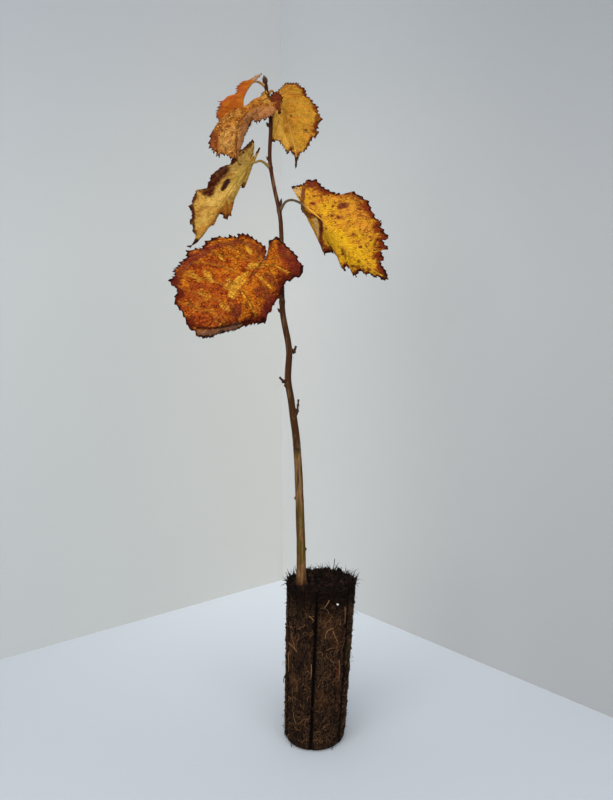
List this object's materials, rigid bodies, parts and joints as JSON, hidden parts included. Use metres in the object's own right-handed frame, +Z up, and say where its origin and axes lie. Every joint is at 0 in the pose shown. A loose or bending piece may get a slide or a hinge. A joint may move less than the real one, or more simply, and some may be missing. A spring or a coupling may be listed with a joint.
{
  "type": "sapling with root ball",
  "caption": "Young hazel sapling in autumn leaf, with a slender crooked stem, short side spurs and toothed leaves, standing on the tapered root ball of its tray cell.",
  "frame": {"origin": "centre of the root ball's flat underside, on the surface that the sapling stands on", "axes": "+Z up along the stem, -Y towards the side that the broad faces of the leaves look to"},
  "size_m": [0.1472, 0.075, 0.475],
  "materials": {
    "peat": "matte",
    "bark": "satin",
    "dead_wood": "matte",
    "orange_leaf": "matte",
    "gold_leaf": "matte",
    "straw_leaf": "matte",
    "rust_leaf": "matte"
  },
  "bodies": {
    "root": {"root_ball": "peat", "stem": "bark", "spur_low": "dead_wood", "spur_middle": "dead_wood", "spur_high": "dead_wood", "leaf_tip_left": "orange_leaf", "leaf_tip_front": "orange_leaf", "leaf_tip_right": "gold_leaf", "leaf_middle_left": "straw_leaf", "leaf_middle_right": "gold_leaf", "leaf_low_front": "rust_leaf"}
  },
  "joints": []
}
